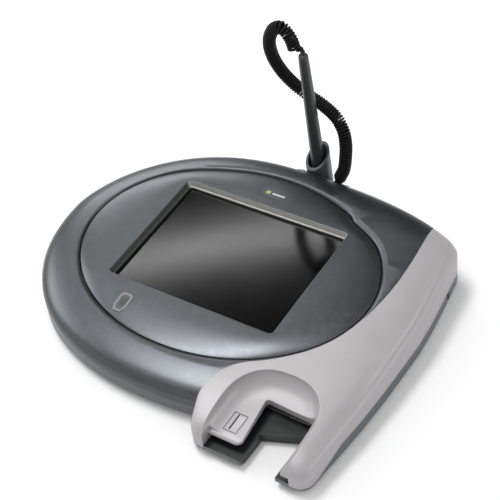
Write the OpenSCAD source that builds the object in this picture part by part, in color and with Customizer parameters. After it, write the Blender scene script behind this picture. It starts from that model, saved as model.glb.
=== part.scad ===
// Countertop touch-screen card terminal with a stylus on a curly tether.
// Origin: on the counter, under the middle of the screen. +X right, +Y to the back, +Z up. Millimetres.
// The screen plane leans towards the user. Many parts are drawn in a tilted frame, where z = 0 is the face.

/* [Case] */
// How far the case reaches to each side of its middle
case_half_w = 127; // [100:1:160]
// How far the case reaches towards the user, without the card block
case_front = 103; // [80:1:130]
// How far the case reaches to the back
case_back = 90.5; // [70:0.5:120]
// Lean of the face towards the user, degrees
tilt = 4; // [0:0.5:12]
// Height of the face over the counter, at the middle of the screen
face_h = 30; // [24:0.5:45]
// Height of the joint line between base tray and covers
parting_h = 11.5; // [8:0.5:16]
// Thickness of the moulded walls
wall = 2.4; // [1.6:0.1:4]

/* [Face] */
// Width of the oval face plate
face_w = 200; // [150:1:240]
// Depth of the oval face plate, front to back
face_d = 152; // [120:1:190]
// Gap around the face plate
face_gap = 0.5; // [0.3:0.1:1.5]
// Width of the screen opening
screen_w = 120; // [90:1:150]
// Depth of the screen opening, front to back
screen_d = 90; // [68:1:112]
// How far the glass lies below the face
glass_drop = 5.2; // [2:0.1:9]

/* [Card] */
// Width of the card that the slot takes
card_w = 54; // [54:1:60]
// Height of the shelf that the card slides on
shelf_h = 6.8; // [5:0.1:9]
// Height of the slot mouth
slot_gap = 4.4; // [4.1:0.1:6]
// How far the contact carriage travels
carriage_travel = 4; // [2:0.5:6]

/* [Stylus] */
// Diameter of the stylus at its thick end
stylus_d = 9.4; // [7:0.1:12]
// Diameter of the stylus at its top end
stylus_top_d = 6.2; // [4:0.1:9]
// Length of the stylus without the ferrule
stylus_len = 110; // [80:1:150]
// Outer diameter of the cup
cup_d = 16.6; // [13:0.2:22]
// Bore diameter of the cup
cup_bore = 13.4; // [10:0.2:19]
// Outer diameter of the curly tether
tether_d = 8.2; // [5:0.2:10]

/* [Output] */
// Which node to make

/* [Hidden] */

$fn = 48;
step = 3;                      // degrees between points of an oval
middle = [5, -1.5];            // middle of the case outline
face_middle = [0, -2];         // middle of the oval face plate
foot_h = 1;                    // the base tray stands this far off the counter
floor_t = 2.2;                 // thickness of the tray's floor
floor_top = foot_h + floor_t;
seam = 0.3;                    // visible gap between the covers
plate_bottom = 4.8;            // underside of the face plate, below the face
deep = 400;                    // longer than anything, for cuts

graphite = [0.29, 0.30, 0.33];
silver = [0.72, 0.70, 0.72];
base_grey = [0.33, 0.35, 0.37];
black = [0.06, 0.06, 0.06];
board_green = [0.10, 0.32, 0.18];
steel = [0.62, 0.63, 0.64];

// The card block is the right front corner of the case. The slot runs from slot_left to slot_right.
block_front = -119.5;          // front face of the card block
card_x = 87.8;                 // middle of the card slot
slot_w = card_w + 2;           // width of the slot between its side walls
slot_left = card_x - slot_w / 2;
slot_right = card_x + slot_w / 2;
notch_left = 81;               // thumb notch in the side cover: its left side leans a little
notch_left_back = 78;
notch_right = 111;
notch_back = -81.5;            // the back of the notch, at its right end and at its left end
notch_back_left = -79.8;
tray_notch_left = 84;          // thumb notch in the base tray
tray_notch_right = 107;
tongue_front = -113.5;
slot_top = shelf_h + slot_gap;
skirt_h = 5;                   // joint line at the very front of the card block
shelf_back = -79.4;            // where the shelf ends and the card guide starts
guide_back = -22;              // where the card guide ends

// The stylus cup, in the tilted frame.
cup_pos = [6.5, 98];
cup_floor = -26;               // inner floor of the cup
cup_wall_floor = 2.6;
saddle_front = 90.1;           // back face of the pad on the case
holder_screw_x = -3.4;
holder_screw_z = [17, 23.2];

// The sockets in the back wall.
data_y = 83.6;                  // outer faces of the sockets
power_y = 79.4;
data_x = -24;
data_w = 15.6;
data_h = 12.6;
power_x = -46;
power_w = 9;
power_h = 10.4;
board_h = 5.2;                 // underside of the main board
board_t = 1.6;
board_top = board_h + board_t;

// Screw and foot places, [x, y].
case_screw_places = [[-98, 30], [-78, -52], [12, -92], [-68, 62], [110, 60], [121, -52]];
case_screw_r = 1.5;
boss_r = 4;
board_screw_places = [[-57, -46], [-57, 62], [37, -46], [37, 62]];
foot_places = [[-78, -34], [-66, 46], [104, 44], [112, -72]];
foot_r = 6;
lock_y = 46;
lock_w = 3;
lock_z = [3.4, 10.4];

// ---------------------------------------------------------------- outlines

// A point of a rounded box outline: n = 2 is an ellipse, and a larger n is squarer, along x and along y.
function oval(a, b, nx, ny, t) = [
    a * sign(cos(t)) * pow(abs(cos(t)), 2 / nx),
    b * sign(sin(t)) * pow(abs(sin(t)), 2 / ny)
];

// A cubic curve from a to d, pulled towards b and c.
function curve(a, b, c, d, t) =
    pow(1 - t, 3) * a + 3 * pow(1 - t, 2) * t * b + 3 * (1 - t) * t * t * c + pow(t, 3) * d;

function arc(centre, r, from, to, n) = [
    for (i = [0:n]) centre + r * [cos(from + (to - from) * i / n), sin(from + (to - from) * i / n)]
];

// Outline of the whole case, seen from above, anticlockwise from the right.
// The right side leans inwards to the back, and its rear corner is tighter than the left one.
rear_middle = [middle[0], middle[1] + case_back];
back_right = concat(
    [for (t = [0:0.125:1]) curve([132, -1.5], [131, 20], [127, 44], [124.4, 62], t)],
    [for (t = [0.125:0.125:1]) curve([124.4, 62], [123, 71.5], [112, 73.5], [98, 78.6], t)],
    [for (t = [0.125:0.125:0.875]) curve([98, 78.6], [72, 86.5], [42, 88.4], rear_middle, t)]
);
back_left = [for (t = [90:step:177]) middle + oval(case_half_w, case_back, 2.4, 1.7, t)];
front_oval = [for (t = [180:step:357]) middle + oval(case_half_w, case_front, 2.2, 2.2, t)];
card_block = concat(
    [[46.5, -104.5], [48.5, -109]],
    arc([56.5, block_front + 7], 7, 195, 270, 6),
    arc([119, block_front + 8], 8, 270, 352, 8),
    [[129, -90], [130.8, -68], [131.8, -44], [132, -20]]
);
front_left = [for (i = [0:35]) front_oval[i]];
case_outline = concat(back_right, back_left, front_left, card_block);

// The same without the card block: the graphite cover's own outline.
oval_outline = concat(back_right, back_left, front_oval);

function smooth(a, b, t) = let (u = min(1, max(0, (t - a) / (b - a)))) u * u * (3 - 2 * u);

// The rear edge of the face opening comes further in, with a small step at its right end.
step_at = 56;
function lip(t) = t < step_at ? 0.05 * smooth(34, step_at, t) : 0.03 * (1 - smooth(112, 140, t));
function face_outline(gap) = [
    for (t = [0:step:357])
        face_middle + (1 - lip(t)) * [(face_w / 2 + gap) * cos(t), (face_d / 2 + gap) * sin(t)]
];

// The joint between the graphite case and the silver cover, seen from above.
cover_seam = concat(
    [[101.5, 110]],
    [for (t = [0:0.1:1]) curve([101.5, 82], [107, 42], [110, 5], [96.5, -29], t)],
    [for (t = [0.125:0.125:1]) curve([96.5, -29], [88.5, -47], [73, -59], [57.5, -68.5], t)],
    [for (t = [0.125:0.125:1]) curve([57.5, -68.5], [49.5, -74], [44.8, -84], [44.6, -96], t)],
    [[45.5, -103.5], [42, -108], [42, -140]]
);
side_region = concat(cover_seam, [[160, -140], [160, 110]]);

// ---------------------------------------------------------------- shape helpers

// Moves its children into the tilted frame, where z = 0 is the face.
module on_face() {
    translate([0, 0, face_h])
        rotate([tilt, 0, 0])
            children();
}

// Height of the face plane over the counter at a given y.
function face_z(y) = face_h + y * tan(tilt);

// A solid through a stack of outlines that all have the same number of points.
module loft(rings) {
    n = len(rings[0]);
    m = len(rings);
    points = [for (ring = rings) each ring];
    sides = [
        for (k = [0:m - 2], i = [0:n - 1])
            let (j = (i + 1) % n)
                each [[k * n + i, k * n + j, (k + 1) * n + j], [k * n + i, (k + 1) * n + j, (k + 1) * n + i]]
    ];
    polyhedron(points, concat(
        [for (f = sides) [f[2], f[1], f[0]]],
        [[for (i = [0:n - 1]) i], [for (i = [n - 1:-1:0]) (m - 1) * n + i]]
    ));
}

// One outline scaled about a point, at a height under the tilted face.
function face_ring(outline, about, scale, drop) = [
    for (p = outline) let (q = about + scale * (p - about)) [q[0], q[1], face_z(q[1]) - drop]
];
function level_ring(outline, about, scale, z) = [
    for (p = outline) let (q = about + scale * (p - about)) [q[0], q[1], z]
];

// The rounded top of the case as rings, [scale, depth below the face]: soft nearly all round, and with a
// ridge, a shallow groove and a sloping band along the right side.
case_about = [14, -2];
soft_profile = [
    [1, 9.5], [0.997, 7.6], [0.988, 5.9], [0.974, 4.6], [0.953, 3.5], [0.92, 2.5], [0.87, 1.5], [0.8, 0.7],
    [0.7, 0.1]
];
creased_profile = [
    [1, 9.6], [0.992, 7.6], [0.984, 5.9], [0.976, 5], [0.964, 4.6], [0.95, 3], [0.9, 1.7], [0.82, 0.8],
    [0.7, 0.1]
];
function creased(p) = smooth(100, 124, p[0]) * smooth(-116, -84, p[1]);
function case_ring(outline, k) = [
    for (p = outline)
        let (
            way = soft_profile[k] + creased(p) * (creased_profile[k] - soft_profile[k]),
            q = case_about + way[0] * (p - case_about)
        )
        [q[0], q[1], face_z(q[1]) - way[1]]
];

shell_scale = 0.976;           // inside of the side walls
hollow_profile = [[shell_scale, 12.5], [0.95, 7], [0.86, 4], [0.7, 2.6]];

module case_shape(outline) {
    loft(concat(
        [level_ring(outline, case_about, 1, 0)],
        [for (k = [0:len(soft_profile) - 1]) case_ring(outline, k)]
    ));
}

module case_hollow(outline) {
    loft(concat(
        [level_ring(outline, case_about, shell_scale, -5)],
        [for (p = hollow_profile) face_ring(outline, case_about, p[0], p[1])]
    ));
}

// Everything above the joint line. It drops along the sides of the card block.
module above_parting() {
    rotate([90, 0, 90])
        translate([0, 0, -deep / 2])
            linear_extrude(deep)
                polygon([
                    [130, parting_h], [-86, parting_h], [-108, skirt_h], [-150, skirt_h], [-150, 90], [130, 90]
                ]);
}

module side_prism(grow = 0) {
    translate([0, 0, -50])
        linear_extrude(200)
            offset(delta = grow)
                polygon(side_region);
}

// The part's origin is under the middle of its box. The cup reaches furthest back.
cup_back = (cup_pos[1] + cup_d / 2) * cos(tilt) - (cup_floor - cup_wall_floor) * sin(tilt);
home = [-middle[0], -(block_front + cup_back) / 2, 0];

// Gives a node its colour, and moves it from the screen's origin to the part's own.
module placed(colour) {
    color(colour)
        translate(home)
            children();
}

module block(low, high) {
    translate(low)
        cube(high - low);
}

module rod(x, y, z0, z1, r) {
    translate([x, y, z0])
        cylinder(r = r, h = z1 - z0);
}

// ---------------------------------------------------------------- card block cuts

// The scoop in the side cover: an arch seen from above, open to the front.
scoop_x = 86.6;
scoop_half_w = 28.6;
scoop_depth = 30.5;            // from the arch's feet to its top
scoop_outline = concat(
    [for (t = [0:6:180]) [scoop_x, -96] + oval(scoop_half_w, scoop_depth, 2.4, 2.4, t)],
    [[scoop_x - scoop_half_w, -150], [scoop_x + scoop_half_w, -150]]
);
scoop_about = [scoop_x, -106];
scoop_profile = [
    [0.62, 9], [0.75, 8.7], [0.84, 8], [0.9, 7], [0.945, 5.6], [0.975, 4], [0.995, 2.6], [1.01, 1]
];

module scoop(grow = 0) {
    loft(concat(
        [for (p = scoop_profile) face_ring(scoop_outline, scoop_about, p[0] + grow / 30, p[1] + grow)],
        [level_ring(scoop_outline, scoop_about, 1.02 + grow / 30, 60)]
    ));
}

// The thumb notch in the side cover, and the open front of the slot. The tongue's corner is round.
module front_cut() {
    corner_r = 3.5;
    inner_r = 2;
    translate([0, 0, -10])
        linear_extrude(70)
            polygon(concat(
                [[slot_left, -150], [slot_left, tongue_front]],
                arc([notch_left - corner_r, tongue_front + corner_r], corner_r, -90, 0, 4),
                arc([notch_left_back + inner_r, notch_back_left - inner_r], inner_r, 180, 90, 3),
                [[notch_right, notch_back], [notch_right, -150]]
            ));
}

// Rounds the top of the tongue's front edge.
module nose_cut() {
    nose_r = 2.8;
    nose_back = tongue_front + 2.2;
    nose_z = face_z(tongue_front) - 11.6;
    difference() {
        block([slot_left, tongue_front - 1, nose_z + 1.1], [notch_left + 1, nose_back, 60]);
        translate([slot_left - 1, nose_back, nose_z])
            rotate([0, 90, 0])
                cylinder(r = nose_r, h = 40);
    }
}

// ---------------------------------------------------------------- case

module screw_hole(place, r, z0, z1) {
    rod(place[0], place[1], z0, z1, r);
}

module base_outline_solid(z1) {
    loft([
        level_ring(case_outline, case_about, 0.965, foot_h),
        level_ring(case_outline, case_about, 0.987, foot_h + 1.4),
        level_ring(case_outline, case_about, 1, foot_h + 3),
        level_ring(case_outline, case_about, 1, z1)
    ]);
}

// The part of the tray under the card: a solid shelf.
module card_shelf() {
    intersection() {
        base_outline_solid(shelf_h);
        block([slot_left, -150, 0], [slot_right, shelf_back, shelf_h]);
    }
}

module tray_walls() {
    difference() {
        base_outline_solid(40);
        translate([0, 0, floor_top])
            linear_extrude(50)
                polygon([for (p = case_outline) case_about + shell_scale * (p - case_about)]);
        // The covers take over above the joint line.
        difference() {
            above_parting();
            block([-150, -150, -5], [42.3, -80, parting_h]);
        }
        block([slot_left, -150, shelf_h], [slot_right, shelf_back, 60]);
    }
}

module tray_notch() {
    translate([0, 0, -5])
        linear_extrude(60)
            polygon([
                [tray_notch_left, -150], [tray_notch_right, -150], [tray_notch_right, -88],
                [tray_notch_left, -97.5]
            ]);
}

module base_tray() {
    placed(base_grey)
        difference() {
            union() {
                tray_walls();
                card_shelf();
                // Fill under the side walls of the card block.
                intersection() {
                    base_outline_solid(skirt_h - 0.2);
                    block([40, -150, 0], [150, shelf_back, skirt_h - 0.2]);
                }
                for (place = case_screw_places)
                    rod(place[0], place[1], floor_top - 1, parting_h, boss_r);
                for (place = board_screw_places)
                    rod(place[0], place[1], floor_top - 1, board_h, 3);
            }
            tray_notch();
            for (place = case_screw_places) {
                screw_hole(place, case_screw_r + 0.3, -1, 20);
                screw_hole(place, 3.2, -1, foot_h + 2.5);
            }
            for (place = board_screw_places)
                screw_hole(place, 1.1, floor_top, 20);
            for (place = foot_places)
                rod(place[0], place[1], -1, foot_h + 1, foot_r + 0.15);
            socket_openings();
            block([100, lock_y - lock_w / 2, lock_z[0]], [150, lock_y + lock_w / 2, lock_z[1]]);
        }
}

// A block that stands on the board, centred on x and reaching back to y.
module socket_block(x, y, w, d, z0, z1) {
    block([x - w / 2, y - d, board_top + z0], [x + w / 2, y, board_top + z1]);
}

// The power plug's body needs room around its socket.
module socket_openings() {
    socket_block(data_x, 110, data_w + 0.8, 34, -0.2, data_h + 0.4);
    socket_block(power_x, 110, power_w + 5, 36, -0.2, data_h + 0.4);
}

// Screw bosses that hang from the roof of a cover.
module cover_bosses() {
    for (place = case_screw_places)
        rod(place[0], place[1], parting_h, face_z(place[1]) - 5, boss_r);
}

module cover_shell() {
    difference() {
        case_shape(oval_outline);
        case_hollow(oval_outline);
    }
    intersection() {
        case_shape(oval_outline);
        cover_bosses();
    }
}

// Ledge that the face plate rests on.
module face_ledge() {
    intersection() {
        difference() {
            loft([
                face_ring(face_outline(4), face_middle, 1, 7.4),
                face_ring(face_outline(4), face_middle, 1, 2)
            ]);
            loft([
                face_ring(face_outline(-5), face_middle, 1, 9),
                face_ring(face_outline(-5), face_middle, 1, 0)
            ]);
        }
        case_shape(oval_outline);
    }
}

// The opening that the face plate lies in, with a rounded lip: [how much wider than the gap, depth].
lip_profile = [[0, plate_bottom], [0, 2.5], [0.4, 1.7], [1.1, 1.15], [2.2, 0.8], [3.6, 0.2], [3.8, -8]];

module face_cut() {
    loft([for (p = lip_profile) face_ring(face_outline(face_gap + p[0]), face_middle, 1, p[1])]);
}

module upper_case() {
    placed(graphite)
        difference() {
            union() {
                cover_shell();
                face_ledge();
                // Pad for the stylus cup.
                block([cup_pos[0] - 13, 87.6, 13], [cup_pos[0] + 11, saddle_front, 27]);
            }
            side_prism(seam);
            block([-150, -150, -5], [150, 150, parting_h]);
            face_cut();
            for (place = case_screw_places)
                screw_hole(place, case_screw_r - 0.3, parting_h - 1, face_z(place[1]) - 7);
            for (z = holder_screw_z)
                translate([holder_screw_x, saddle_front + 1, z])
                    rotate([90, 0, 0])
                        cylinder(r = 1.1, h = 12);
            socket_openings();
        }
}

module side_cover() {
    placed(silver)
        difference() {
            union() {
                difference() {
                    intersection() {
                        case_shape(case_outline);
                        side_prism();
                        above_parting();
                    }
                    difference() {
                        case_hollow(case_outline);
                        scoop(wall);
                        block([notch_left_back - wall, -150, -10], [slot_right + wall, notch_back_left + wall, 60]);
                        block([40, -150, -5], [slot_left, -90, 60]);
                    }
                }
                intersection() {
                    case_shape(case_outline);
                    side_prism();
                    cover_bosses();
                    block([100, -100, 0], [150, 100, 60]);
                }
            }
            scoop();
            front_cut();
            nose_cut();
            slot_icon_pocket();
            block([slot_left, -150, -5], [slot_right, -60, slot_top]);
            for (place = case_screw_places)
                screw_hole(place, case_screw_r - 0.3, parting_h - 1, face_z(place[1]) - 7);
        }
}

// ---------------------------------------------------------------- face and screen

module slab(w, d, z0, z1) {
    translate([-w / 2, -d / 2, z0])
        cube([w, d, z1 - z0]);
}

// A level rectangle with round corners, as a ring of points.
function round_box(w, d, r, z) = [
    for (c = [[1, 1, 0], [-1, 1, 90], [-1, -1, 180], [1, -1, 270]])
        each [for (p = arc([c[0] * (w / 2 - r), c[1] * (d / 2 - r)], r, c[2], c[2] + 90, 4)) [p[0], p[1], z]]
];

// The screen opening narrows towards the glass, with a small ledge halfway down.
module screen_opening() {
    loft([
        round_box(screen_w - 4, screen_d - 4, 1.5, -glass_drop - 0.1),
        round_box(screen_w - 4, screen_d - 4, 1.5, -3.6),
        round_box(screen_w - 2.6, screen_d - 2.6, 2, -3.4),
        round_box(screen_w, screen_d, 2.5, 0),
        round_box(screen_w + 0.8, screen_d + 0.8, 3, 1)
    ]);
}

// The face plate is flat around the screen opening, and falls away from there to its rim.
flat_w = screen_w / 2 + 6;
flat_d = screen_d / 2 + 6;
function flat_share(p) =
    let (q = p - face_middle)
        pow(pow(abs(q[0]) / flat_w, 6) + pow(abs(q[1]) / flat_d, 6), -1 / 6);
function dome_ring(reach, drop) = [
    for (p = face_outline(0))
        let (
            flat = flat_share(p),
            q = face_middle + (flat + reach * (1 - flat)) * (p - face_middle)
        )
        [q[0], q[1], face_z(q[1]) - drop]
];
dome_profile = [
    [1, 2.7], [0.985, 2.1], [0.93, 1.75], [0.8, 1.25], [0.6, 0.7], [0.4, 0.3], [0.2, 0.08], [0, 0]
];

module face_plate() {
    placed(graphite)
        difference() {
            union() {
                loft(concat(
                    [face_ring(face_outline(0), face_middle, 1, plate_bottom)],
                    [for (p = dome_profile) dome_ring(p[0], p[1])]
                ));
                on_face()
                    for (x = [-1, 1], y = [-1, 1])
                        rod(x * 68.5, y * 40, -8, -4, 2.4);
            }
            on_face()
                screen_opening();
            on_face()
                for (x = [-1, 1], y = [-1, 1])
                    rod(x * 68.5, y * 40, -9, -3, 1);
            at_card_icon()
                icon_shape(0.1, 4);
            at_badge()
                badge_shape(0.1, 4);
        }
}

// The pictogram and the badge lie in shallow pockets that lean with the face plate's slope.
pocket_depth = 1.1;
module at_card_icon() {
    on_face()
        translate([-36.3, -62, -0.55])
            rotate([5.6, -1.5, 0])
                translate([0, 0, -pocket_depth])
                    children();
}

module at_badge() {
    on_face()
        translate([0, 56.5, -0.2])
            rotate([-3, 0, 0])
                translate([0, 0, -pocket_depth])
                    children();
}

// A small upright lozenge with clipped corners.
module icon_shape(grow, h) {
    linear_extrude(h)
        offset(delta = grow)
            polygon([[-4.5, -3], [-4.5, 5], [-2.5, 7], [2.5, 7], [4.5, 5], [4.5, -3], [2.5, -7], [-2.5, -7]]);
}

module card_icon() {
    placed([0.8, 0.8, 0.82])
        at_card_icon()
            icon_shape(0, pocket_depth);
}

// A small plate on the tongue that shows which way the card goes.
slot_icon_pos = [71, -102.6, -9.6];
slot_icon_w = 8.6;
slot_icon_d = 13;

module slot_icon() {
    placed([0.86, 0.86, 0.84])
        on_face()
            translate(slot_icon_pos)
                slab(slot_icon_w, slot_icon_d, 0, 0.65);
}

module slot_icon_pocket() {
    on_face()
        translate(slot_icon_pos)
            slab(slot_icon_w + 0.2, slot_icon_d + 0.2, 0, 3);
}

module badge_shape(grow, h) {
    linear_extrude(h)
        polygon([for (t = [0:15:345]) oval(11 + grow, 4.6 + grow, 2, 2, t)]);
}

module face_badge() {
    placed([0.55, 0.72, 0.35])
        at_badge()
            badge_shape(0, pocket_depth + 0.05);
}

module screen_gasket() {
    placed(black)
        on_face()
            difference() {
                slab(screen_w + 4, screen_d + 4, -glass_drop, -plate_bottom);
                slab(screen_w - 4, screen_d - 4, -glass_drop - 1, 0);
            }
}

module touch_glass() {
    placed([0.12, 0.13, 0.13])
        on_face()
            slab(126, 96, -glass_drop - 1.8, -glass_drop);
}

module lcd_panel() {
    placed([0.25, 0.26, 0.26])
        on_face()
            slab(124, 94, -glass_drop - 7.4, -glass_drop - 1.8);
}

frame_floor = -glass_drop - 7.4;

module lcd_frame() {
    placed(steel)
        on_face()
            difference() {
                union() {
                    slab(128.4, 98.4, frame_floor - 0.8, -glass_drop - 1);
                    for (x = [-1, 1], y = [-1, 1])
                        block([x * 68.5 - 5, y * 40 - 4, -8.8], [x * 68.5 + 5, y * 40 + 4, -8]);
                }
                slab(126.6, 96.6, frame_floor, 0);
                slab(90, 60, frame_floor - 5, 0);
                for (x = [-1, 1], y = [-1, 1])
                    rod(x * 68.5, y * 40, -12, 0, 1.3);
            }
}

module machine_screw(r, head_r, head_h, length) {
    cylinder(r = head_r, h = head_h);
    translate([0, 0, -length])
        cylinder(r = r, h = length + 0.1);
}

module frame_screws() {
    placed(steel)
        on_face()
            for (x = [-1, 1], y = [-1, 1])
                translate([x * 68.5, y * 40, -8.8])
                    mirror([0, 0, 1])
                        machine_screw(0.95, 2.1, 1.2, 4.6);
}

// ---------------------------------------------------------------- electronics

board_low = [-61, -58];
board_high = [41, 68];

module main_board() {
    placed(board_green)
        difference() {
            union() {
                block([board_low[0], board_low[1], board_h], [board_high[0], board_high[1], board_top]);
                block([power_x - 7, 60, board_h], [power_x + 8, power_y - 1.4, board_top]);
                block([data_x - 10, 60, board_h], [data_x + 10, data_y, board_top]);
            }
            for (place = board_screw_places)
                screw_hole(place, 1.35, 0, 20);
        }
}

module board_screws() {
    placed(steel)
        for (place = board_screw_places)
            translate([place[0], place[1], board_top])
                machine_screw(1.05, 2.2, 1.3, 3.4);
}

// [x, y, width, depth, height] of each package on the board.
chip_places = [
    [-20, 0, 22, 22, 2.2], [14, 6, 14, 20, 1.4], [14, -20, 12, 8, 1.4], [-44, -14, 10, 16, 1.6],
    [-42, 22, 12, 8, 1.6], [-14, -36, 8, 8, 1.6]
];

module board_chips() {
    placed(black)
        for (c = chip_places)
            block([c[0] - c[2] / 2, c[1] - c[3] / 2, board_top],
                  [c[0] + c[2] / 2, c[1] + c[3] / 2, board_top + c[4]]);
}

module board_headers() {
    placed([0.85, 0.84, 0.78])
        for (h = [[27, 14, 6, 22], [-56, 0, 5, 14], [34, -30, 6, 12]])
            block([h[0] - h[2] / 2, h[1] - h[3] / 2, board_top],
                  [h[0] + h[2] / 2, h[1] + h[3] / 2, board_top + 3.2]);
}

// Flat cable from the header up to the back of the panel.
module display_ribbon() {
    t = 0.3;
    header_top = board_top + 3.2;
    panel_z = face_z(6) + frame_floor;
    path = [[27, header_top], [27, header_top + 3], [16, header_top + 4.5], [10, panel_z - 0.2]];
    placed([0.75, 0.6, 0.3])
        translate([0, 22, 0])
            rotate([90, 0, 0])
                linear_extrude(16)
                    polygon(concat(
                        [for (p = path) p + [t, 0]],
                        [for (i = [len(path) - 1:-1:0]) path[i] - [t, 0]]
                    ));
}

module inverter_board() {
    placed(board_green)
        block([-92, -34, floor_top + 3], [-74, 30, floor_top + 4.4]);
    placed(board_green)
        for (y = [-26, 22])
            rod(-83, y, floor_top, floor_top + 3, 2);
}

module inverter_parts() {
    top = floor_top + 4.4;
    placed(black) {
        block([-90, -10, top], [-76, 10, top + 7]);
        block([-88, 15, top], [-78, 26, top + 4]);
        for (y = [-28, -18])
            rod(-83, y, top, top + 8, 3);
    }
}

module data_socket() {
    placed(black)
        difference() {
            socket_block(data_x, data_y, data_w, 15, 0, data_h);
            socket_block(data_x, data_y + 1, 11.8, 13, 2, 9);
        }
}

module power_socket() {
    placed(black)
        difference() {
            socket_block(power_x, power_y, power_w, 13, 0, power_h);
            translate([power_x, power_y + 1, board_top + 5.2])
                rotate([90, 0, 0])
                    cylinder(r = 3.2, h = 11);
        }
}

// ---------------------------------------------------------------- card reader

guide_left = slot_left + 0.4;
guide_right = slot_right - 0.4;
guide_front = shelf_back + 0.3;
stop_len = 2;
spring_len = 2 * carriage_travel;
carriage_len = 16;
carriage_front = guide_back - stop_len - spring_len - carriage_len;

// A channel that the card slides in, open to the front and the back, with a lip over its mouth.
module reader_guide() {
    placed([0.55, 0.55, 0.53]) {
        block([card_x + 5, guide_front - 1.5, shelf_h + 1.4], [guide_right, guide_front + 1, shelf_h + 2.4]);
        difference() {
            block([guide_left, guide_front, floor_top], [guide_right, guide_back, slot_top - 0.2]);
            block([guide_left + 1, guide_front - 1, shelf_h + 0.2],
                  [guide_right - 1, guide_back + 1, shelf_h + 1.8]);
            block([guide_left + 1, guide_front - 1, shelf_h + 0.2],
                  [guide_right - 1, guide_front + 5, shelf_h + 3]);
            // Room for the carriage above the card.
            block([guide_left + 10, carriage_front - 3, shelf_h], [guide_right - 10, guide_back + 1, 20]);
        }
    }
}

module reader_carriage() {
    placed(black) {
        block([guide_left + 11, carriage_front, shelf_h + 2.4],
              [guide_right - 11, carriage_front + carriage_len, shelf_h + 5.6]);
        block([guide_left + 11, carriage_front + carriage_len - 2, shelf_h + 0.5],
              [guide_right - 11, carriage_front + carriage_len, shelf_h + 5.6]);
    }
}

module reader_contacts() {
    placed([0.85, 0.7, 0.35])
        for (i = [0:3], row = [0, 1])
            block([card_x - 6 + i * 3.6, carriage_front + 2 + row * 7.6, shelf_h + 2],
                  [card_x - 4.8 + i * 3.6, carriage_front + 5 + row * 7.6, shelf_h + 2.4]);
}

// Return spring between the carriage and the reader board's stop.
module reader_spring() {
    placed(steel)
        translate([card_x, carriage_front + carriage_len, shelf_h + 4])
            rotate([-90, 0, 0])
                cylinder(r = 1.3, h = spring_len);
}

module reader_board() {
    placed(board_green)
        block([guide_left + 6, guide_back + 0.3, floor_top + 1], [guide_right - 6, guide_back + 1.9, 13]);
    placed(black)
        block([card_x - 2, guide_back - stop_len, shelf_h + 2.6],
              [card_x + 2, guide_back + 0.3, shelf_h + 5.4]);
}

// ---------------------------------------------------------------- hardware

lock_plate_x = [121, 122.6];

module lock_plate() {
    placed(steel)
        difference() {
            block([lock_plate_x[0], lock_y - 6, floor_top], [lock_plate_x[1], lock_y + 6, parting_h - 0.4]);
            block([110, lock_y - lock_w / 2, lock_z[0] + 0.3], [130, lock_y + lock_w / 2, lock_z[1]]);
        }
}

module case_screws() {
    placed(steel)
        for (place = case_screw_places)
            translate([place[0], place[1], foot_h + 2.5])
                mirror([0, 0, 1])
                    machine_screw(case_screw_r - 0.35, 2.9, 1.6, 13);
}

module case_feet() {
    placed(black)
        for (place = foot_places)
            rod(place[0], place[1], 0, foot_h + 1, foot_r);
}

// ---------------------------------------------------------------- stylus and tether

// The cup and the stylus share one axis, square to the face.
module in_cup() {
    on_face()
        translate([cup_pos[0], cup_pos[1], 0])
            children();
}

holder_bottom = cup_floor - cup_wall_floor;
bushing_pos = [21, 97.2];
bushing_z = [11, 17];
bushing_r = 3.6;

module stylus_holder() {
    placed(graphite)
        difference() {
            union() {
                in_cup()
                    rod(0, 0, holder_bottom, 14, cup_d / 2);
                // Saddle against the pad on the case.
                block([cup_pos[0] - 13, saddle_front, 14], [cup_pos[0] + 10, saddle_front + 3, 26]);
                block([cup_pos[0] - 4, saddle_front + 2, 13], [cup_pos[0] + 4, 97, 26]);
                // Ear for the tether.
                block([cup_pos[0] + 4, saddle_front + 2, 13], [bushing_pos[0] + 5, bushing_pos[1] + 5, 16]);
            }
            in_cup()
                rod(0, 0, cup_floor, 60, cup_bore / 2);
            // The rim is cut on a slant, low at the front left.
            in_cup()
                translate([0, 0, 1])
                    rotate([36, -18, 0])
                        translate([-40, -40, 0])
                            cube([80, 80, 60]);
            rod(bushing_pos[0], bushing_pos[1], 0, 60, bushing_r - 1);
            for (z = holder_screw_z)
                translate([holder_screw_x, saddle_front + 5, z])
                    rotate([90, 0, 0])
                        cylinder(r = 1.4, h = 12);
        }
}

module holder_screws() {
    placed(steel)
        for (z = holder_screw_z)
            translate([holder_screw_x, saddle_front + 3, z])
                rotate([-90, 0, 0])
                    machine_screw(1.05, 2.3, 1.4, 7);
}

module tether_bushing() {
    placed(black)
        union() {
            rod(bushing_pos[0], bushing_pos[1], 16, bushing_z[1], bushing_r);
            rod(bushing_pos[0], bushing_pos[1], bushing_z[0], 16.1, bushing_r - 1);
            rod(bushing_pos[0], bushing_pos[1], bushing_z[0], 13, bushing_r);
        }
}

tip_len = 13;
cap_len = 10;

module stylus_tip() {
    placed(black)
        in_cup() {
            translate([0, 0, cup_floor])
                cylinder(r1 = 1.1, r2 = 3.6, h = tip_len - 4);
            rod(0, 0, cup_floor + tip_len - 4, cup_floor + tip_len, 3.6);
        }
}

module stylus_barrel() {
    placed([0.2, 0.21, 0.21])
        in_cup()
            translate([0, 0, cup_floor + tip_len])
                cylinder(r1 = stylus_d / 2, r2 = stylus_top_d / 2 + 0.3, h = stylus_len - tip_len - cap_len);
}

module stylus_cap() {
    placed([0.24, 0.25, 0.25])
        in_cup()
            translate([0, 0, cup_floor + stylus_len - cap_len]) {
                cylinder(r1 = stylus_top_d / 2 + 0.3, r2 = stylus_top_d / 2, h = cap_len - 1);
                translate([0, 0, cap_len - 1])
                    cylinder(r1 = stylus_top_d / 2, r2 = stylus_top_d / 2 - 1, h = 1);
            }
}

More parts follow.
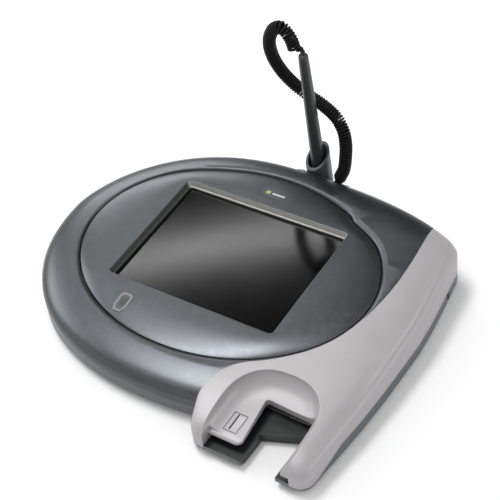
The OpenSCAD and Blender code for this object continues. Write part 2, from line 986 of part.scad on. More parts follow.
module stylus_ferrule() {
    placed(black)
        in_cup()
            rod(0, 0, cup_floor + stylus_len, cup_floor + stylus_len + 2.4, 1.5);
}

// The route of the tether's middle line: up from the holder, behind the stylus, over and down to its top.
tether_route = [
    [21, 97.2, 17], [21, 97.2, 19], [21, 97.2, 21], [23.4, 97.3, 27], [26.4, 97.5, 34], [27.8, 98.2, 44],
    [27.7, 99.6, 53], [25.2, 101.6, 62], [18.5, 104.2, 69], [8.5, 106.2, 73.5], [-1.5, 106.3, 78], [-10, 104.4, 85],
    [-17, 101.6, 95], [-21, 98.8, 107], [-20.4, 95.8, 120], [-15.4, 94, 131], [-8.6, 93.2, 135], [-3.6, 93, 131],
    [-0.6, 92.6, 125.5], [0.4, 92.2, 121.5]
];
lead_route = [
    [1, 92, 120.8], [2.4, 91.9, 122], [4, 91.8, 124], [5.6, 91.6, 125.3], [6.5, 91.6, 125.1], [6.5, 91.7, 123.1]
];
lead_r = 0.9;

// Points between route points, on a smooth curve through all of them.
function spline(p, i, t) =
    let (
        a = p[max(0, i - 1)], b = p[i], c = p[min(len(p) - 1, i + 1)], d = p[min(len(p) - 1, i + 2)]
    )
    0.5 * (2 * b + (c - a) * t + (2 * a - 5 * b + 4 * c - d) * t * t + (3 * b - a - 3 * c + d) * t * t * t);

function unit(v) = v / norm(v);

// A tube along a list of points, with a radius for each.
module tube(path, radii, sides) {
    last = len(path) - 1;
    way = [for (i = [0:last]) unit(path[min(last, i + 1)] - path[max(0, i - 1)])];
    // Each ring's side direction follows from the one before, so the tube doesn't twist.
    function carry(i, side) =
        let (s = unit(side - (side * way[i]) * way[i]))
        i == last ? [s] : concat([s], carry(i + 1, s));
    side = carry(0, [0, 1, 0]);
    loft([
        for (i = [0:last])
            let (u = side[i], v = cross(way[i], u))
                [
                    for (k = [0:sides - 1])
                        let (turn = k * 360 / sides)
                            path[i] + radii[i] * (u * cos(turn) + v * sin(turn))
                ]
    ]);
}

module tether() {
    coil = concat(
        [for (i = [0:len(tether_route) - 2], t = [0:1 / 3:0.99]) spline(tether_route, i, t)],
        [tether_route[len(tether_route) - 1]]
    );
    path = concat(coil, lead_route);
    radii = [for (i = [0:len(path) - 1]) i < len(coil) ? tether_d / 2 : lead_r];
    placed(black)
        tube(path, radii, 10);
}

// ---------------------------------------------------------------- output

base_tray();
upper_case();
side_cover();
face_plate();
touch_glass();
face_badge();
card_icon();
slot_icon();
screen_gasket();
lcd_panel();
lcd_frame();
main_board();
board_chips();
board_headers();
display_ribbon();
inverter_board();
inverter_parts();
data_socket();
power_socket();
reader_guide();
reader_carriage();
reader_contacts();
reader_spring();
reader_board();
lock_plate();
case_screws();
board_screws();
frame_screws();
holder_screws();
case_feet();
stylus_holder();
tether_bushing();
stylus_barrel();
stylus_tip();
stylus_cap();
stylus_ferrule();
tether();
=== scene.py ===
"""Looks of a countertop card terminal: a low oval case with a sunk touch screen, a card slot with a thumb
notch, and a stylus that stands in a cup on a curly tether.

Metres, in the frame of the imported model: +X to the user's right, +Y to the back, +Z up. Small things are
placed in millimetres, from the counter under the screen or from the middle of the tilted face.
"""

import math

import bpy
from mathutils import Matrix, Vector


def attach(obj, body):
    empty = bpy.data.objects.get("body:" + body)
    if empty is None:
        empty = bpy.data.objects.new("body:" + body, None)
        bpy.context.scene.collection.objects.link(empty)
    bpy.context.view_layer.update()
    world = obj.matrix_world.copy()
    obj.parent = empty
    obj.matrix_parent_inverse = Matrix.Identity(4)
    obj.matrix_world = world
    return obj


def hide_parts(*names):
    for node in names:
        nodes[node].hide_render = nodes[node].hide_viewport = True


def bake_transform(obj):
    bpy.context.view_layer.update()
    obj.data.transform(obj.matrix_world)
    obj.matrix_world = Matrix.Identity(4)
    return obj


MM = 0.001
SCREEN_ORIGIN = Vector((-5.0, 5.732, 0.0)) * MM   # on the counter, under the middle of the screen
FACE_TILT = math.radians(4)                       # the face leans towards the user
FACE_HEIGHT = 30 * MM                             # height of the face over the screen's origin
FACE_FRAME = (                                    # millimetres on the tilted face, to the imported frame
    Matrix.Translation(SCREEN_ORIGIN + Vector((0, 0, FACE_HEIGHT)))
    @ Matrix.Rotation(FACE_TILT, 4, "X")
    @ Matrix.Scale(MM, 4)
)

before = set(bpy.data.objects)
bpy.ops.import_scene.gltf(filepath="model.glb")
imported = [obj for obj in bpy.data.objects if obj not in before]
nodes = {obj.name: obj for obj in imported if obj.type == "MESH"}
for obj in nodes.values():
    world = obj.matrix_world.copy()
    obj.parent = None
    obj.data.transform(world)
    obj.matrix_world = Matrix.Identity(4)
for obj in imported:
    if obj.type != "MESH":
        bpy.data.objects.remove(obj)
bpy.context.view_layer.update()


# ------------------------------------------------------------------ places


def from_screen(x, y, z):
    """A point in millimetres from the counter under the screen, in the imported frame."""
    return SCREEN_ORIGIN + Vector((x, y, z)) * MM


def from_face(x, y, z):
    """A point in millimetres from the middle of the tilted face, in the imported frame."""
    return FACE_FRAME @ Vector((x, y, z))


def set_in_face(x, y, z, lean=0, side_lean=0):
    """The frame of something small set in the face, in millimetres. Its leans are in degrees."""
    return (
        FACE_FRAME @ Matrix.Translation((x, y, z))
        @ Matrix.Rotation(math.radians(side_lean), 4, "Y")
        @ Matrix.Rotation(math.radians(lean), 4, "X")
    )


# ------------------------------------------------------------------ camera


def make_camera():
    """The view from the front right and above, with a long lens and the head rolled a little."""
    azimuth, elevation, roll = math.radians(40.77), math.radians(44.72), math.radians(-11.51)
    distance, side, rise = 830.5, 13.62, 1.39    # millimetres from the middle of the face
    back = Vector((
        math.sin(azimuth) * math.cos(elevation), -math.cos(azimuth) * math.cos(elevation), math.sin(elevation)
    ))
    level_right = Vector((math.cos(azimuth), math.sin(azimuth), 0))
    level_up = back.cross(level_right)
    right = level_right * math.cos(roll) + level_up * math.sin(roll)
    up = back.cross(right)
    place = from_face(*(right * side + up * rise + back * distance))
    tilt = Matrix.Rotation(FACE_TILT, 3, "X")
    turned = tilt @ Matrix((right, up, back)).transposed()
    data = bpy.data.cameras.new("camera")
    data.lens, data.sensor_width = 97.2, 36.0
    data.clip_start, data.clip_end = 0.02, 20
    camera = bpy.data.objects.new("camera", data)
    camera.matrix_world = Matrix.Translation(place) @ turned.to_4x4()
    bpy.context.scene.collection.objects.link(camera)
    bpy.context.scene.camera = camera


# ------------------------------------------------------------------ meshes

SOFT_EDGE = 0.12     # the widest bevel round the top of a plate, in millimetres


def link(name, points, faces, material, smooth=True):
    """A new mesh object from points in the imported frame."""
    mesh = bpy.data.meshes.new(name)
    mesh.from_pydata([tuple(p) for p in points], [], faces)
    mesh.polygons.foreach_set("use_smooth", [smooth] * len(mesh.polygons))
    mesh.materials.append(material)
    mesh.update()
    thing = bpy.data.objects.new(name, mesh)
    bpy.context.scene.collection.objects.link(thing)
    return thing


def wall(low, high, count):
    """The faces between two rings of that many points, each ring given by the index of its first point."""
    return [(low + k, low + (k + 1) % count, high + (k + 1) % count, high + k) for k in range(count)]


def closed_rings(rings, sides):
    """The faces of a row of rings that is closed at both ends."""
    faces = []
    for i in range(rings - 1):
        faces += wall(i * sides, (i + 1) * sides, sides)
    top = (rings - 1) * sides
    return faces + [tuple(range(sides - 1, -1, -1)), tuple(range(top, top + sides))]


def carried_frames(path):
    """For each point of a path, two directions square to it that turn as little as possible."""
    last = len(path) - 1
    pairs = []
    side = Vector((0, 1, 0))
    for i in range(last + 1):
        way = (path[min(last, i + 1)] - path[max(0, i - 1)]).normalized()
        side = (side - way * side.dot(way)).normalized()
        pairs.append((side.copy(), way.cross(side)))
    return pairs


def tube(name, path, radii, sides, material):
    """A closed tube along a path, with a radius at each point."""
    points = []
    for centre, radius, (u, v) in zip(path, radii, carried_frames(path)):
        for k in range(sides):
            turn = 2 * math.pi * k / sides
            points.append(centre + (u * math.cos(turn) + v * math.sin(turn)) * radius)
    return link(name, points, closed_rings(len(path), sides), material)


def plate(name, outline, place, material, bottom, top):
    """A thin flat piece with the given outline, and a slightly smaller top for its soft edge."""
    n = len(outline)
    step = min(SOFT_EDGE, (top - bottom) / 2)
    half_w, half_d = half_sizes(outline)
    points = [place @ Vector((x, y, z)) for z in (bottom, top - step) for x, y in outline]
    points += [place @ Vector((x * (1 - step / half_w), y * (1 - step / half_d), top)) for x, y in outline]
    faces = [tuple(range(n - 1, -1, -1)), tuple(range(2 * n, 3 * n))] + wall(0, n, n) + wall(n, 2 * n, n)
    return link(name, points, faces, material, smooth=False)


def band(name, outline, place, material, width, bottom, top):
    """A flat closed band that follows the inside of an outline."""
    n = len(outline)
    half_w, half_d = half_sizes(outline)
    inner = [(x * (1 - width / half_w), y * (1 - width / half_d)) for x, y in outline]
    rings = [(outline, bottom), (outline, top), (inner, top), (inner, bottom)]
    points = [place @ Vector((x, y, z)) for ring, z in rings for x, y in ring]
    faces = wall(0, n, n) + wall(n, 2 * n, n) + wall(2 * n, 3 * n, n) + wall(3 * n, 0, n)
    return link(name, points, faces, material, smooth=False)


def half_sizes(outline):
    """How far an outline reaches from its origin, in width and in depth."""
    return [max(abs(point[k]) for point in outline) for k in (0, 1)]


def rectangle(half_w, half_d, x=0, y=0):
    """The corners of a rectangle around the point x, y."""
    return [(x + half_w * a, y + half_d * b) for a, b in ((-1, -1), (1, -1), (1, 1), (-1, 1))]


def ellipse(half_w, half_d, sides):
    """Points on an ellipse around the origin."""
    turns = [2 * math.pi * k / sides for k in range(sides)]
    return [(half_w * math.cos(t), half_d * math.sin(t)) for t in turns]


def spline(route, spacing):
    """Points on a smooth curve through all of a route's points, about spacing apart."""
    found = []
    last = len(route) - 1
    for i in range(last):
        a, b, c, d = route[max(0, i - 1)], route[i], route[i + 1], route[min(last, i + 2)]
        pieces = max(2, round((c - b).length / spacing))
        for k in range(pieces):
            t = k / pieces
            found.append(0.5 * (
                2 * b + (c - a) * t + (2 * a - 5 * b + 4 * c - d) * t ** 2 + (3 * b - a - 3 * c + d) * t ** 3
            ))
    found.append(route[last])
    return found


def ease(low, high, x):
    """0 below low, 1 above high, and smooth between."""
    u = min(1.0, max(0.0, (x - low) / (high - low)))
    return u * u * (3 - 2 * u)


# ------------------------------------------------------------------ material nodes

MOST_NOISE = (0.3, 0.7)     # the range that holds nearly all values of a noise
EDGE_LEAN = (0.99, 0.85)    # cosine of the rounded normal's lean where rubbing starts, and where it is full
RUBBED = 0.7                # the strongest rubbing
GLOSS_SPREAD = (0.9, 1.12)  # the lowest and highest roughness, as shares of a finish's own


def add(tree, kind, inputs=None, **settings):
    """Adds a node. An input is a value or another node's output."""
    node = tree.nodes.new(kind)
    for key, value in settings.items():
        setattr(node, key, value)
    for socket, value in (inputs or {}).items():
        if isinstance(value, bpy.types.NodeSocket):
            tree.links.new(value, node.inputs[socket])
        else:
            node.inputs[socket].default_value = value
    return node


def object_place(tree):
    """The point of the surface, in metres on the object."""
    return add(tree, "ShaderNodeTexCoord").outputs["Object"]


def noise(tree, place, scale, detail=2.0, roughness=0.5):
    """Noise from 0 to 1, with about that many lumps to a metre."""
    return add(tree, "ShaderNodeTexNoise", {
        "Vector": place, "Scale": scale, "Detail": detail, "Roughness": roughness,
    }).outputs["Fac"]


def spread(tree, value, old, new, **settings):
    """Takes one range of a value to another, and holds it at the ends."""
    return add(tree, "ShaderNodeMapRange", {
        "Value": value, "From Min": old[0], "From Max": old[1], "To Min": new[0], "To Max": new[1],
    }, **settings).outputs["Result"]


def mixed(tree, factor, first, second):
    """A colour between two colours."""
    mix = add(tree, "ShaderNodeMix", {"Factor": factor, "A": first, "B": second}, data_type="RGBA")
    return mix.outputs["Result"]


def dot(tree, first, second):
    """The dot product of two vectors."""
    return add(tree, "ShaderNodeVectorMath", {0: first, 1: second}, operation="DOT_PRODUCT").outputs["Value"]


def grey(level):
    """A neutral colour."""
    return (level, level, level, 1)


def rgba(colour, factor=1.0):
    """A colour made lighter or darker."""
    return tuple(min(1.0, c * factor) for c in colour) + (1.0,)


def start_material(name, **sockets):
    """A new material, with constant values on its shader's own sockets."""
    material = bpy.data.materials.new(name)
    material.use_nodes = True
    tree = material.node_tree
    shader = tree.nodes["Principled BSDF"]
    for socket, value in sockets.items():
        shader.inputs[socket.replace("_", " ")].default_value = value
    return material, tree, shader


# ------------------------------------------------------------------ materials

# What each finish is, and each painted light or shade: its linear colour, its roughness and what else differs
# from the defaults of moulded().
FINISHES = {
    # the case
    "base_grey": dict(colour=(0.105, 0.113, 0.123), roughness=0.42, metallic=0.3),
    "graphite_paint": dict(colour=(0.088, 0.093, 0.101), roughness=0.315, metallic=0.9, patch=0.004,
                           grain=0.0005, fleck=0.12, depth=0.000008, edge=1.6, edge_radius=0.0007),
    "silver_paint": dict(colour=(0.385, 0.37, 0.381), roughness=0.45, metallic=0.25, variation=0.05,
                         grain=0.00025, fleck=0.06, depth=0.000004, edge=1.4, edge_radius=0.0008),
    # walls round the screen: the back wall painted light, as lit from the front; the side and front walls
    # painted shade
    "painted_light_bezel": dict(colour=(0.34, 0.34, 0.32), roughness=0.45, metallic=0.3, variation=0.05),
    "painted_shade_bezel": dict(colour=(0.035, 0.037, 0.032), roughness=0.42, variation=0.05),
    # painted shade in the card slot and the thumb notch under the tongue
    "painted_shade_slot": dict(colour=(0.011, 0.012, 0.013), roughness=0.33),
    "guide_grey": dict(colour=(0.16, 0.16, 0.15), roughness=0.34, metallic=0.5),
    # the badge and the pictograms
    "badge": dict(colour=(0.07, 0.074, 0.08), roughness=0.34, metallic=0.5, patch=0.004),
    "green_print": dict(colour=(0.3, 0.42, 0.16), roughness=0.4, patch=0.003),
    "icon_print": dict(colour=(0.5, 0.5, 0.51), roughness=0.5, patch=0.004),
    "icon_soft": dict(colour=(0.2, 0.2, 0.21), roughness=0.5, patch=0.004),
    "icon_dark": dict(colour=(0.03, 0.03, 0.033), roughness=0.5, patch=0.004),
    # the stylus, its cup and the tether
    "holder_grey": dict(colour=(0.085, 0.09, 0.1), roughness=0.42, metallic=0.3),
    "stylus_grey": dict(colour=(0.035, 0.037, 0.038), roughness=0.36, metallic=0.1, patch=0.008),
    "tip_black": dict(colour=(0.015, 0.015, 0.016), roughness=0.4),
    "cord_black": dict(colour=(0.006, 0.0058, 0.0055), roughness=0.45, patch=0.006, edge_radius=0.0001,
                       IOR=1.25),
    "rubber_black": dict(colour=(0.018, 0.018, 0.019), roughness=0.75, grain=0.0006, depth=0.00004),
    # inside
    "panel": dict(colour=(0.03, 0.032, 0.034), roughness=0.35),
    "foam": dict(colour=(0.02, 0.02, 0.021), roughness=0.9, grain=0.0008, depth=0.0001),
    "sheet_steel": dict(colour=(0.5, 0.5, 0.51), roughness=0.34, metallic=1.0, variation=0.08),
    "board": dict(colour=(0.02, 0.13, 0.06), roughness=0.4, variation=0.2),
    "chip_black": dict(colour=(0.025, 0.025, 0.027), roughness=0.5),
    "header_white": dict(colour=(0.7, 0.67, 0.58), roughness=0.5),
    "ribbon": dict(colour=(0.5, 0.3, 0.08), roughness=0.35),
    "contact_gold": dict(colour=(0.8, 0.55, 0.2), roughness=0.25, metallic=1.0),
    "spring_steel": dict(colour=(0.55, 0.55, 0.55), roughness=0.25, metallic=1.0),
}


def rubbed_edges(tree, round_normal, patches):
    """How much of the paint is rubbed away: nothing on smooth stretches, and uneven on sharp edges."""
    flat_normal = add(tree, "ShaderNodeNewGeometry").outputs["Normal"]
    edges = spread(tree, dot(tree, round_normal, flat_normal), EDGE_LEAN, (0.0, RUBBED))
    return add(tree, "ShaderNodeMath", {0: edges, 1: patches}, operation="MULTIPLY").outputs["Value"]


def moulded(name, colour, roughness, metallic=0.0, variation=0.12, patch=0.02, grain=0.0004, fleck=0.1,
            depth=0.00002, edge=1.35, edge_radius=0.0005, **sockets):
    """Moulded or painted plastic or metal: soft patches of shade, fine grain, uneven gloss and paler edges.

    Patch, grain, depth and edge_radius are sizes in metres. Variation and fleck are how much the patches and
    the grain change the colour, and edge is how much paler a rubbed edge is.
    """
    material, tree, shader = start_material(name, Metallic=metallic, **sockets)
    place = object_place(tree)
    patches = noise(tree, place, 1 / patch, detail=5.0, roughness=0.6)
    fine = noise(tree, place, 1 / grain, detail=3.0, roughness=0.7)
    round_normal = add(tree, "ShaderNodeBevel", {"Radius": edge_radius}, samples=6).outputs["Normal"]

    shade = mixed(tree, patches, rgba(colour, 1 - variation), rgba(colour, 1 + variation))
    flecks = spread(tree, fine, MOST_NOISE, (1 - fleck, 1 + fleck))
    grained = add(tree, "ShaderNodeVectorMath", {0: shade, "Scale": flecks}, operation="SCALE")
    worn = rubbed_edges(tree, round_normal, patches)
    painted = mixed(tree, worn, grained.outputs["Vector"], rgba(colour, edge))
    gloss = spread(tree, patches, MOST_NOISE, [roughness * share for share in GLOSS_SPREAD])
    bump = add(tree, "ShaderNodeBump", {
        "Height": fine, "Distance": depth, "Strength": 1.0, "Normal": round_normal,
    })
    tree.links.new(painted, shader.inputs["Base Color"])
    tree.links.new(gloss, shader.inputs["Roughness"])
    tree.links.new(bump.outputs["Normal"], shader.inputs["Normal"])
    return material


def screen_glass():
    """Dark display behind anti-glare glass: faint cloudiness and a fine etched grain on the surface."""
    material, tree, shader = start_material("screen_glass", IOR=1.5)
    place = object_place(tree)
    clouds = noise(tree, place, 30.0, detail=4.0)
    etched = noise(tree, place, 4000.0)
    shade = mixed(tree, clouds, grey(0.0002), grey(0.0005))
    gloss = spread(tree, clouds, (0.0, 1.0), (0.1, 0.14))
    bump = add(tree, "ShaderNodeBump", {"Height": etched, "Distance": 0.000001, "Strength": 1.0})
    tree.links.new(shade, shader.inputs["Base Color"])
    tree.links.new(gloss, shader.inputs["Roughness"])
    tree.links.new(bump.outputs["Normal"], shader.inputs["Normal"])
    return material


def make_materials():
    """One material for each finish, by name."""
    finish = {name: moulded(name, **looks) for name, looks in FINISHES.items()}
    finish["screen_glass"] = screen_glass()
    return finish


# ------------------------------------------------------------------ tether

# The route of the coil's middle line, in millimetres from the screen's origin.
TETHER_ROUTE = [
    (21, 97.2, 17), (21, 97.2, 19), (21, 97.2, 21), (23.4, 97.3, 27), (26.4, 97.5, 34),
    (27.8, 98.2, 44), (27.7, 99.6, 53), (25.2, 101.6, 62), (18.5, 104.2, 69), (8.5, 106.2, 73.5),
    (-1.5, 106.3, 78), (-10, 104.4, 85), (-17, 101.6, 95), (-21, 98.8, 107), (-20.4, 95.8, 120),
    (-15.4, 94, 131), (-8.6, 93.2, 135), (-3.6, 93, 131), (-0.6, 92.6, 125.5), (0.4, 92.2, 121.5),
]
# The straight lead from the end of the coil into the top of the stylus.
LEAD_ROUTE = [(2.4, 91.9, 122), (4, 91.8, 124), (5.6, 91.6, 125.3), (6.5, 91.6, 125.1), (6.5, 91.7, 123.1)]
COIL_DIAMETER = 8.7 * MM
WIRE_DIAMETER = 1.7 * MM
WIRE_SIDES = 8
COIL_PITCH = 1.85 * MM
COIL_OPENS = (6 * MM, 9 * MM)    # along the route: the wire is straight before, and coiled in full after
POINTS_PER_TURN = 14
ROUTE_STEP = 0.5 * MM
LEAD_STEP = 0.4 * MM
SLEEVE_AXIS = (21, 97.2)
SLEEVE_PROFILE = [               # height and radius, up the ribs
    (17, 3.3), (17.6, 3.3), (18.4, 2.7), (19.2, 2.9), (20, 2.4), (20.8, 2.6), (21.6, 2.1), (22.4, 2.2),
    (23, 1.3),
]
SLEEVE_SIDES = 24


def coil_path():
    """The wire's own centreline: straight out of the sleeve, round and round the route, then to the stylus."""
    middle = spline([from_screen(*p) for p in TETHER_ROUTE], ROUTE_STEP)
    run = [0.0]
    for a, b in zip(middle, middle[1:]):
        run.append(run[-1] + (b - a).length)
    frames = carried_frames(middle)
    full = (COIL_DIAMETER - WIRE_DIAMETER) / 2
    step = COIL_PITCH / POINTS_PER_TURN
    path = []
    i = 0
    for n in range(int(run[-1] / step)):
        s = n * step
        while run[i + 1] < s:
            i += 1
        t = (s - run[i]) / (run[i + 1] - run[i])
        centre = middle[i].lerp(middle[i + 1], t)
        u = frames[i][0].lerp(frames[i + 1][0], t)
        v = frames[i][1].lerp(frames[i + 1][1], t)
        radius = full * ease(*COIL_OPENS, s)
        turn = 2 * math.pi * n / POINTS_PER_TURN
        path.append(centre + (u * math.cos(turn) + v * math.sin(turn)) * radius)
    lead = [path[-1]] + [from_screen(*p) for p in LEAD_ROUTE]
    return path + spline(lead, LEAD_STEP)[1:]


def make_sleeve(finish):
    """The ribbed rubber sleeve that the wire comes out of."""
    middle = [from_screen(*SLEEVE_AXIS, height) for height, radius in SLEEVE_PROFILE]
    radii = [radius * MM for height, radius in SLEEVE_PROFILE]
    sleeve = tube("tether_sleeve", middle, radii, SLEEVE_SIDES, finish["rubber_black"])
    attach(sleeve, "case")
    return sleeve


def make_tether(finish):
    """The curly cord from the cup to the stylus. Its foot stays with the case as the stylus is lifted."""
    path = coil_path()
    coil = tube("tether_coil", path, [WIRE_DIAMETER / 2] * len(path), WIRE_SIDES, finish["cord_black"])
    sleeve = make_sleeve(finish)
    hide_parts("tether")
    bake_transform(coil)


# ------------------------------------------------------------------ stylus

# Millimetres, with heights along the cup's axis.
CUP = (6.5, 98)           # the axis, from the middle of the face
STYLUS_LOW = -13
STYLUS_TOP = 84
BARREL_RADIUS = 4.7       # near its foot
BARREL_TAPER = 1.3        # how much thinner it is under the cap
BARREL_RINGS = 16
FOOT_BEVEL = (0.5, 0.2)   # height and depth
CAP_LENGTH = 10
CAP_SIDES = [(0, 3.39), (5, 3.24)]    # height over the cap's foot, and radius
CAP_SEAM = 0.5            # height of the step between barrel and cap
CAP_ROUNDING = 1.8        # radius of the cap's top edge
CAP_TOP_RADIUS = 1.3      # of the flat inside that edge
STYLUS_SIDES = 72
FLATS = 6
FLAT_DEPTH = 0.045        # as a share of the radius
FLAT_RISE = 6             # height over which the flats grow in from the foot


def stylus_profile():
    """Height and radius up the outside of the barrel and the cap."""
    bevel_height, bevel_depth = FOOT_BEVEL
    cap = STYLUS_TOP - CAP_LENGTH
    barrel = cap - CAP_SEAM - STYLUS_LOW
    shoulder = STYLUS_TOP - CAP_ROUNDING
    profile = [(STYLUS_LOW, BARREL_RADIUS - bevel_depth), (STYLUS_LOW + bevel_height, BARREL_RADIUS)]
    for k in range(1, BARREL_RINGS + 1):
        radius = BARREL_RADIUS - BARREL_TAPER * k / BARREL_RINGS
        profile.append((STYLUS_LOW + k * barrel / BARREL_RINGS, radius))
    profile += [(cap + height, radius) for height, radius in CAP_SIDES]
    profile.append((shoulder, CAP_TOP_RADIUS + CAP_ROUNDING))
    for turn in (20, 40, 60, 80, 90):
        rise, reach = math.sin(math.radians(turn)), math.cos(math.radians(turn))
        profile.append((shoulder + CAP_ROUNDING * rise, CAP_TOP_RADIUS + CAP_ROUNDING * reach))
    return profile


def flat_depth(height):
    """How deep the flats are cut at a height: they fade out at the foot and over the cap."""
    foot = ease(STYLUS_LOW, STYLUS_LOW + FLAT_RISE, height)
    cap = ease(STYLUS_TOP - CAP_LENGTH + 2, STYLUS_TOP - 1, height)
    return FLAT_DEPTH * (1 - cap) * foot


def make_stylus(finish):
    """The barrel and its cap in one turned shape with soft flats."""
    profile = stylus_profile()
    points = []
    for z, r in profile:
        for k in range(STYLUS_SIDES):
            turn = 2 * math.pi * k / STYLUS_SIDES
            reach = r * (1 - flat_depth(z) * (0.5 + 0.5 * math.cos(FLATS * turn)) ** 2)
            points.append(from_face(CUP[0] + reach * math.cos(turn), CUP[1] + reach * math.sin(turn), z))
    body = link("stylus_body", points, closed_rings(len(profile), STYLUS_SIDES), finish["stylus_grey"])
    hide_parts("stylus_barrel", "stylus_cap")
    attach(body, "stylus")


# ------------------------------------------------------------------ pictograms and badge

# Sizes in millimetres. Heights are over the surface that the mark is set in.


def add_marks(pieces, replaced):
    """The first piece stands in for a CAD node, and the others lie on it. All of them belong to the case."""
    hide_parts(replaced)
    for piece in pieces:
        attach(piece, "case")


def make_card_icon(finish):
    """A chip-card pictogram beside the screen: a pale outline with clipped corners around a small card."""
    place = set_in_face(-36.3, -62, -0.55, lean=5.6, side_lean=-1.5)
    outline = [(-4.5, -3), (-2.5, -7), (2.5, -7), (4.5, -3), (4.5, 5), (2.5, 7), (-2.5, 7), (-4.5, 5)]
    card = rectangle(1.7, 2.9, x=0.1, y=0.4)
    add_marks([
        plate("card_icon_plate", outline, place, finish["badge"], bottom=-1.1, top=0.03),
        band("card_icon_outline", outline, place, finish["icon_soft"], width=1.4, bottom=-0.3, top=0.16),
        plate("card_icon_card", card, place, finish["icon_dark"], bottom=-0.3, top=0.12),
    ], "card_icon")


def make_slot_icon(finish):
    """A pictogram on the tongue: a card with its dark stripe, in a thin dark outline."""
    place = set_in_face(71, -102.6, -9.6)
    edge = rectangle(4.2, 6.4)
    stripe = rectangle(0.5, 5.7, x=-1.2, y=0.3)
    card = rectangle(2.1, 4.5, x=1.6, y=0.4)
    add_marks([
        plate("slot_icon_plate", rectangle(4.3, 6.5), place, finish["silver_paint"], bottom=0, top=0.62),
        band("slot_icon_outline", edge, place, finish["icon_soft"], width=0.3, bottom=0.3, top=0.7),
        plate("slot_icon_stripe", stripe, place, finish["icon_dark"], bottom=0.3, top=0.72),
        plate("slot_icon_card", card, place, finish["icon_print"], bottom=0.3, top=0.76),
    ], "slot_icon")


def make_badge(finish):
    """A plain oval badge with a green dot and a pale bar."""
    place = set_in_face(0, 56.5, -0.2, lean=-3)
    green_dot = [(x - 5.6, y) for x, y in ellipse(1.7, 1.7, 20)]
    bar = rectangle(4.6, 0.75, x=2.2, y=-0.2)
    add_marks([
        plate("badge_plate", ellipse(11, 4.6, 48), place, finish["badge"], bottom=-1.1, top=0.05),
        plate("badge_dot", green_dot, place, finish["green_print"], bottom=-0.3, top=0.12),
        plate("badge_bar", bar, place, finish["icon_print"], bottom=-0.3, top=0.12),
    ], "face_badge")


# ------------------------------------------------------------------ CAD nodes

# The CAD nodes that show as they are, by finish.
NODE_FINISH = {
    "base_grey": ["base_tray"],
    "graphite_paint": ["upper_case", "face_plate"],
    "silver_paint": ["side_cover"],
    "screen_glass": ["touch_glass"],
    "panel": ["lcd_panel"],
    "foam": ["screen_gasket"],
    "sheet_steel": ["lcd_frame", "lock_plate", "case_screws", "board_screws", "frame_screws", "holder_screws"],
    "board": ["main_board", "inverter_board", "reader_board"],
    "chip_black": ["board_chips", "inverter_parts", "data_socket", "power_socket", "reader_carriage"],
    "header_white": ["board_headers"],
    "ribbon": ["display_ribbon"],
    "guide_grey": ["reader_guide"],
    "contact_gold": ["reader_contacts"],
    "spring_steel": ["reader_spring"],
    "rubber_black": ["case_feet", "tether_bushing"],
    "holder_grey": ["stylus_holder"],
    "tip_black": ["stylus_tip", "stylus_ferrule"],
}

# Boxes in millimetres from the middle of the face, as ranges of x, y and z, whose faces get a painted shade or
# a painted light.
# painted shade on the walls round the screen; the back wall's box below takes painted light instead
SCREEN_WALLS = ((-60.2, 60.2), (-45.2, 45.2), (-5.3, -0.05))
SCREEN_BACK_WALL = ((-60.2, 60.2), (42, 45.2), (-5.3, -0.05))
# painted shade in the card slot and the notch under the tongue
CARD_SLOT = ((59, 115.9), (-118.8, -78), (-22, 0))

WELD_DISTANCE = 0.002 * MM
SHARPEST_SMOOTH = math.radians(28)    # edges that turn more stay sharp


def finish_node(node, material):
    """Gives a CAD node its material, and shades its curved stretches smoothly."""
    thing = nodes[node]
    mesh = thing.data
    mesh.materials.clear()
    mesh.materials.append(material)
    if "custom_normal" in mesh.attributes:
        mesh.attributes.remove(mesh.attributes["custom_normal"])
    mesh.polygons.foreach_set("use_smooth", [True] * len(mesh.polygons))
    weld = thing.modifiers.new("weld", "WELD")
    weld.merge_threshold = WELD_DISTANCE
    split = thing.modifiers.new("split", "EDGE_SPLIT")
    split.split_angle = SHARPEST_SMOOTH


def paint_lighting_in_box(node, material, box):
    """Gives the faces of a node whose middles lie in a box another material: a painted shade or a painted
    light.
    """
    thing = nodes[node]
    mesh = thing.data
    mesh.materials.append(material)
    to_face = FACE_FRAME.inverted() @ thing.matrix_world
    for polygon in mesh.polygons:
        middle = to_face @ polygon.center
        if all(low < value < high for value, (low, high) in zip(middle, box)):
            polygon.material_index = len(mesh.materials) - 1


# ------------------------------------------------------------------ stage

FLOOR_HALF = 6.0
LIGHT_DISTANCE = 1.5
SURROUNDINGS = 0.7          # strength of the white all round
DARK_PATCH = (34, 42)       # azimuth and elevation of the patch's middle, in degrees
PATCH_FADE = (16, 40)       # degrees from its middle: black inside the first, white outside the second


def make_floor():
    """A pale matt floor."""
    material, tree, shader = start_material("floor", Roughness=0.9)
    shade = mixed(tree, noise(tree, object_place(tree), 8.0), grey(0.93), grey(0.95))
    tree.links.new(shade, shader.inputs["Base Color"])
    points = [(x, y, 0) for x, y in rectangle(FLOOR_HALF, FLOOR_HALF)]
    link("floor", points, [(0, 1, 2, 3)], material, smooth=False)


def toward(azimuth, elevation):
    """A unit direction. Azimuth 0 is the back, and 90 the left."""
    turn, lift = math.radians(azimuth), math.radians(elevation)
    return Vector((-math.sin(turn) * math.cos(lift), math.cos(turn) * math.cos(lift), math.sin(lift)))


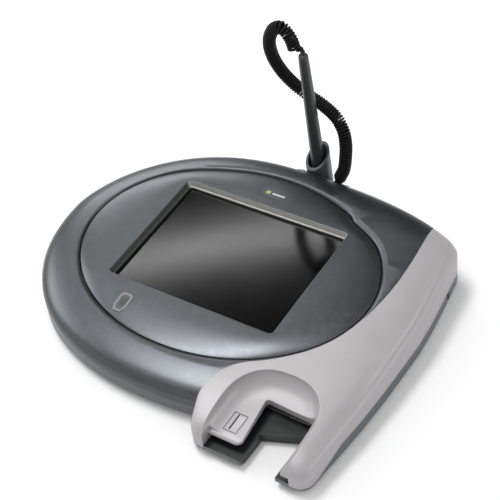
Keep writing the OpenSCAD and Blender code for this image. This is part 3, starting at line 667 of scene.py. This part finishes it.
def softbox(name, azimuth, elevation, width, height, radiance, turn=0):
    """A soft light that faces the object from that direction, turned about its own axis by some degrees."""
    data = bpy.data.lights.new(name, "AREA")
    data.shape, data.size, data.size_y = "RECTANGLE", width, height
    data.energy = radiance * math.pi * width * height    # in watts, so that a small lamp is as bright to see
    light = bpy.data.objects.new(name, data)
    way = toward(azimuth, elevation)
    light.location = way * LIGHT_DISTANCE
    light.rotation_mode = "QUATERNION"
    spin = Matrix.Rotation(math.radians(turn), 3, "Z").to_quaternion()
    light.rotation_quaternion = (-way).to_track_quat("-Z", "Y") @ spin
    bpy.context.scene.collection.objects.link(light)


def make_lights():
    """A bright strip that the screen reflects, two soft key lights and weaker fill all round."""
    softbox("screen_strip", 45, 47.2, 1.0, 0.04, 9.4, turn=-6)
    softbox("high", 78, 70, 0.5, 0.42, 15.5)
    softbox("left", 89, 33, 0.6, 0.5, 4.2)
    softbox("far_left", 118, 20, 1.2, 0.5, 0.5)
    softbox("front", 175, 30, 0.8, 0.5, 0.4)
    softbox("low_back", 49, 27, 0.6, 0.26, 7.5)
    softbox("right", -70, 24, 1.0, 0.4, 2.6)


def make_world():
    """White surroundings with one dark patch behind the object, which the screen and the plate reflect."""
    world = bpy.data.worlds.new("studio")
    bpy.context.scene.world = world
    world.use_nodes = True
    tree = world.node_tree
    way = add(tree, "ShaderNodeTexCoord").outputs["Generated"]
    fade = [math.cos(math.radians(angle)) for angle in PATCH_FADE]
    level = spread(tree, dot(tree, way, toward(*DARK_PATCH)), fade, (0.0, SURROUNDINGS),
                   interpolation_type="SMOOTHSTEP")
    background = tree.nodes["Background"]
    background.inputs["Color"].default_value = (1, 1, 1, 1)
    tree.links.new(level, background.inputs["Strength"])


# ------------------------------------------------------------------ all together

make_camera()
finishes = make_materials()
make_tether(finishes)
make_stylus(finishes)
make_card_icon(finishes)
make_slot_icon(finishes)
make_badge(finishes)
for finish_name, members in NODE_FINISH.items():
    for member in members:
        finish_node(member, finishes[finish_name])
# painted shade on the side and front walls round the screen, and painted light on its back wall
paint_lighting_in_box("face_plate", finishes["painted_shade_bezel"], SCREEN_WALLS)
paint_lighting_in_box("face_plate", finishes["painted_light_bezel"], SCREEN_BACK_WALL)
# painted shade in the card slot and the notch under the tongue
paint_lighting_in_box("base_tray", finishes["painted_shade_slot"], CARD_SLOT)
make_floor()
make_lights()
make_world()
bpy.context.scene.view_settings.view_transform = "Standard"
